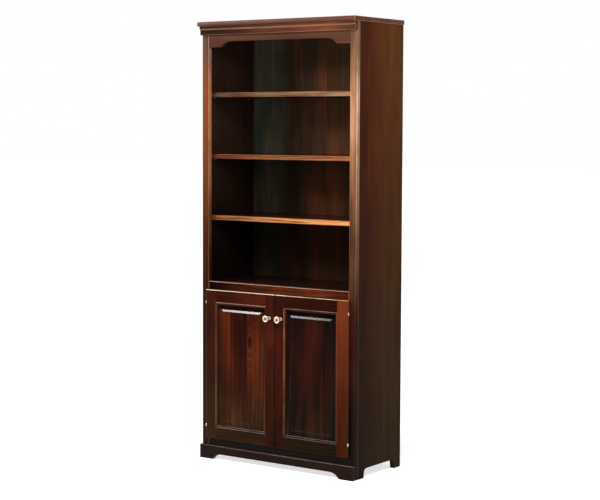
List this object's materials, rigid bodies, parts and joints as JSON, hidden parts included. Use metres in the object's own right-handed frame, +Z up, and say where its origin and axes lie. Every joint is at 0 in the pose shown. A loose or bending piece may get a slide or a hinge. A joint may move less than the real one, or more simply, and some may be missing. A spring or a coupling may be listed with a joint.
{
  "type": "bookcase with cabinet doors",
  "caption": "Tall narrow bookcase with open adjustable shelves above a cabinet closed by a pair of hinged raised-panel doors, on a bracket-foot base.",
  "frame": {"origin": "on the floor, under the middle of the whole outline", "axes": "+Z up, +X to the right of someone facing the doors, +Y from the front towards the wall"},
  "size_m": [0.785, 0.3752, 1.829],
  "materials": {
    "stained_cherry": "dark cherry stain under a semi-gloss lacquer",
    "stained_interior": "the same dark stain on flat-sawn boards and plywood, satin",
    "satin_nickel": "warm satin nickel plate",
    "zinc_steel": "bright zinc plate"
  },
  "bodies": {
    "carcass": {"top_board": "stained_cherry", "cornice_moulding": "stained_cherry", "side_panel_left": "stained_cherry", "side_panel_right": "stained_cherry", "back_panel": "stained_interior", "hanging_rail": "stained_interior", "fixed_deck": "stained_interior", "cabinet_floor": "stained_interior", "arched_top_rail": "stained_cherry", "middle_rail": "stained_cherry", "bottom_rail": "stained_cherry", "face_frame_stile_left": "stained_cherry", "face_frame_stile_right": "stained_cherry", "base_apron": "stained_cherry", "pin_cabinet_shelf_left_front": "zinc_steel", "pin_cabinet_shelf_left_rear": "zinc_steel", "pin_cabinet_shelf_right_front": "zinc_steel", "pin_cabinet_shelf_right_rear": "zinc_steel", "pin_lower_shelf_left_front": "zinc_steel", "pin_lower_shelf_left_rear": "zinc_steel", "pin_lower_shelf_right_front": "zinc_steel", "pin_lower_shelf_right_rear": "zinc_steel", "pin_middle_shelf_left_front": "zinc_steel", "pin_middle_shelf_left_rear": "zinc_steel", "pin_middle_shelf_right_front": "zinc_steel", "pin_middle_shelf_right_rear": "zinc_steel", "pin_upper_shelf_left_front": "zinc_steel", "pin_upper_shelf_left_rear": "zinc_steel", "pin_upper_shelf_right_front": "zinc_steel", "pin_upper_shelf_right_rear": "zinc_steel", "hinge_left_upper_frame_leaf": "satin_nickel", "hinge_left_upper_pin": "satin_nickel", "hinge_left_lower_frame_leaf": "satin_nickel", "hinge_left_lower_pin": "satin_nickel", "hinge_right_upper_frame_leaf": "satin_nickel", "hinge_right_upper_pin": "satin_nickel", "hinge_right_lower_frame_leaf": "satin_nickel", "hinge_right_lower_pin": "satin_nickel"},
    "door_left": {"door_left_hinge_stile": "stained_cherry", "door_left_meeting_stile": "stained_cherry", "door_left_top_rail": "stained_cherry", "door_left_bottom_rail": "stained_cherry", "door_left_raised_panel": "stained_cherry", "door_left_knob": "satin_nickel", "door_left_knob_screw": "zinc_steel", "hinge_left_upper_door_leaf": "satin_nickel", "hinge_left_lower_door_leaf": "satin_nickel"},
    "door_right": {"door_right_hinge_stile": "stained_cherry", "door_right_meeting_stile": "stained_cherry", "door_right_top_rail": "stained_cherry", "door_right_bottom_rail": "stained_cherry", "door_right_raised_panel": "stained_cherry", "door_right_knob": "satin_nickel", "door_right_knob_screw": "zinc_steel", "hinge_right_upper_door_leaf": "satin_nickel", "hinge_right_lower_door_leaf": "satin_nickel"},
    "cabinet_shelf": {"cabinet_shelf": "stained_cherry"},
    "lower_shelf": {"lower_shelf": "stained_cherry"},
    "middle_shelf": {"middle_shelf": "stained_cherry"},
    "upper_shelf": {"upper_shelf": "stained_cherry"}
  },
  "joints": [
    {"name": "door_left_hinge", "type": "hinge", "parent": "carcass", "child": "door_left", "pos_m": [-0.3595, -0.15715, 0.40175], "axis": [0, 0, -1], "range_deg": [0, 110]},
    {"name": "door_right_hinge", "type": "hinge", "parent": "carcass", "child": "door_right", "pos_m": [0.3595, -0.15715, 0.40175], "axis": [0, 0, 1], "range_deg": [0, 110]},
    {"name": "cabinet_shelf_lift", "type": "slide", "parent": "carcass", "child": "cabinet_shelf", "axis": [0, 0, 1], "range_m": [0, 0.03]},
    {"name": "lower_shelf_lift", "type": "slide", "parent": "carcass", "child": "lower_shelf", "axis": [0, 0, 1], "range_m": [0, 0.03]},
    {"name": "middle_shelf_lift", "type": "slide", "parent": "carcass", "child": "middle_shelf", "axis": [0, 0, 1], "range_m": [0, 0.03]},
    {"name": "upper_shelf_lift", "type": "slide", "parent": "carcass", "child": "upper_shelf", "axis": [0, 0, 1], "range_m": [0, 0.03]}
  ]
}
